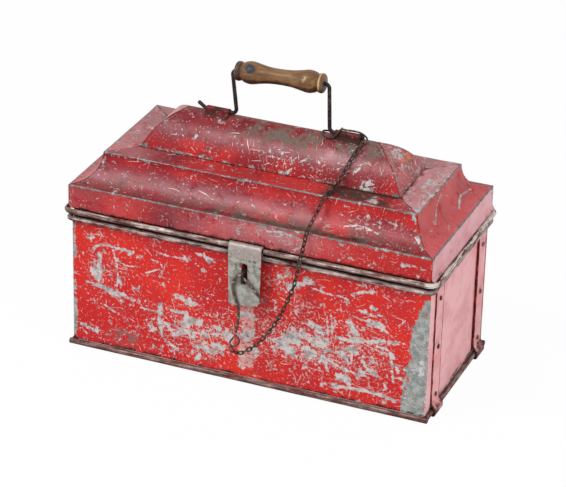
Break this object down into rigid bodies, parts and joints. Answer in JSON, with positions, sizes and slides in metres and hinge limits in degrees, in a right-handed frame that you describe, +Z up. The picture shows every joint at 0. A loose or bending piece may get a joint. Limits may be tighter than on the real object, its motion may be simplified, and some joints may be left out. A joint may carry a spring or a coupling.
{
  "type": "steel toolbox",
  "caption": "Sheet-steel toolbox with a stepped, crowned lid on rear hinges, a wire bail with a turned wooden grip, and a slotted hasp pinned over a staple by a chained wire hook.",
  "frame": {"origin": "on the standing surface, under the middle of the box", "axes": "+X along the box to its right end seen from the front, -Y to the front where the hasp is, +Z up"},
  "size_m": [0.369, 0.189, 0.2897],
  "materials": {
    "red_paint": "worn red enamel over galvanised sheet",
    "lid_paint": "worn crimson enamel over galvanised sheet, bare along the edges",
    "bare_steel": "tarnished bare rolled edge",
    "galvanised_steel": "dull galvanised plate with light rust",
    "dark_steel": "dark tarnished wire",
    "turned_wood": "worn varnish"
  },
  "bodies": {
    "body": {"front_panel": "red_paint", "back_panel": "red_paint", "left_end_panel": "red_paint", "right_end_panel": "red_paint", "bottom_panel": "bare_steel", "rim_bead": "bare_steel", "base_bead_front": "bare_steel", "base_bead_back": "bare_steel", "base_bead_left": "bare_steel", "base_bead_right": "bare_steel", "left_front_strap": "red_paint", "left_back_strap": "red_paint", "right_front_strap": "red_paint", "right_back_strap": "red_paint", "left_front_rivet_low": "dark_steel", "left_front_rivet_mid": "dark_steel", "left_front_rivet_high": "dark_steel", "left_back_rivet_low": "dark_steel", "left_back_rivet_mid": "dark_steel", "left_back_rivet_high": "dark_steel", "right_front_rivet_low": "dark_steel", "right_front_rivet_mid": "dark_steel", "right_front_rivet_high": "dark_steel", "right_back_rivet_low": "dark_steel", "right_back_rivet_mid": "dark_steel", "right_back_rivet_high": "dark_steel", "staple": "dark_steel", "left_hinge_body_leaf": "dark_steel", "right_hinge_body_leaf": "dark_steel", "left_hinge_pin": "dark_steel", "right_hinge_pin": "dark_steel"},
    "lid": {"lid_front_moulding": "lid_paint", "lid_back_moulding": "lid_paint", "lid_left_moulding": "lid_paint", "lid_right_moulding": "lid_paint", "crown_cover": "lid_paint", "crown_left_hip": "lid_paint", "crown_right_hip": "lid_paint", "lid_bead": "bare_steel", "hasp_wire": "dark_steel", "left_bail_tunnel": "lid_paint", "right_bail_tunnel": "lid_paint", "left_hinge_lid_leaf": "dark_steel", "right_hinge_lid_leaf": "dark_steel", "chain_top_link": "dark_steel", "chain_over_lid": "dark_steel"},
    "hasp": {"hasp_plate": "galvanised_steel"},
    "handle": {"bail": "dark_steel"},
    "handle_grip": {"grip": "turned_wood"},
    "tether": {"chain_hanging": "dark_steel"},
    "pin_hook": {"hook": "dark_steel", "chain_end_loop": "dark_steel"}
  },
  "joints": [
    {"name": "lid_hinge", "type": "hinge", "parent": "body", "child": "lid", "pos_m": [0, 0.0916, 0.139], "axis": [-1, 0, 0], "range_deg": [0, 120], "deforming": ["chain_hanging"]},
    {"name": "hasp_hinge", "type": "hinge", "parent": "lid", "child": "hasp", "pos_m": [0.0012, -0.0844, 0.144], "axis": [-1, 0, 0], "range_deg": [0, 135]},
    {"name": "handle_swing", "type": "hinge", "parent": "lid", "child": "handle", "pos_m": [0, 0, 0.23339], "axis": [1, 0, 0], "range_deg": [-90, 90]},
    {"name": "grip_spin", "type": "hinge", "parent": "handle", "child": "handle_grip", "pos_m": [-0.0036, 0, 0.27799], "axis": [0.9993, 0, 0.0378], "continuous": true},
    {"name": "tether_swing", "type": "hinge", "parent": "lid", "child": "tether", "pos_m": [0.0555, -0.0844, 0.144], "axis": [-1, 0, 0], "range_deg": [-120, 0], "deforming": ["chain_hanging"]},
    {"name": "hook_draw", "type": "slide", "parent": "tether", "child": "pin_hook", "axis": [-0.7071, 0, 0.7071], "range_m": [0, 0.036], "deforming": ["chain_hanging"]}
  ],
  "couplings": [
    {"joint": "tether_swing", "follows": "lid_hinge", "ratio": -1}
  ]
}
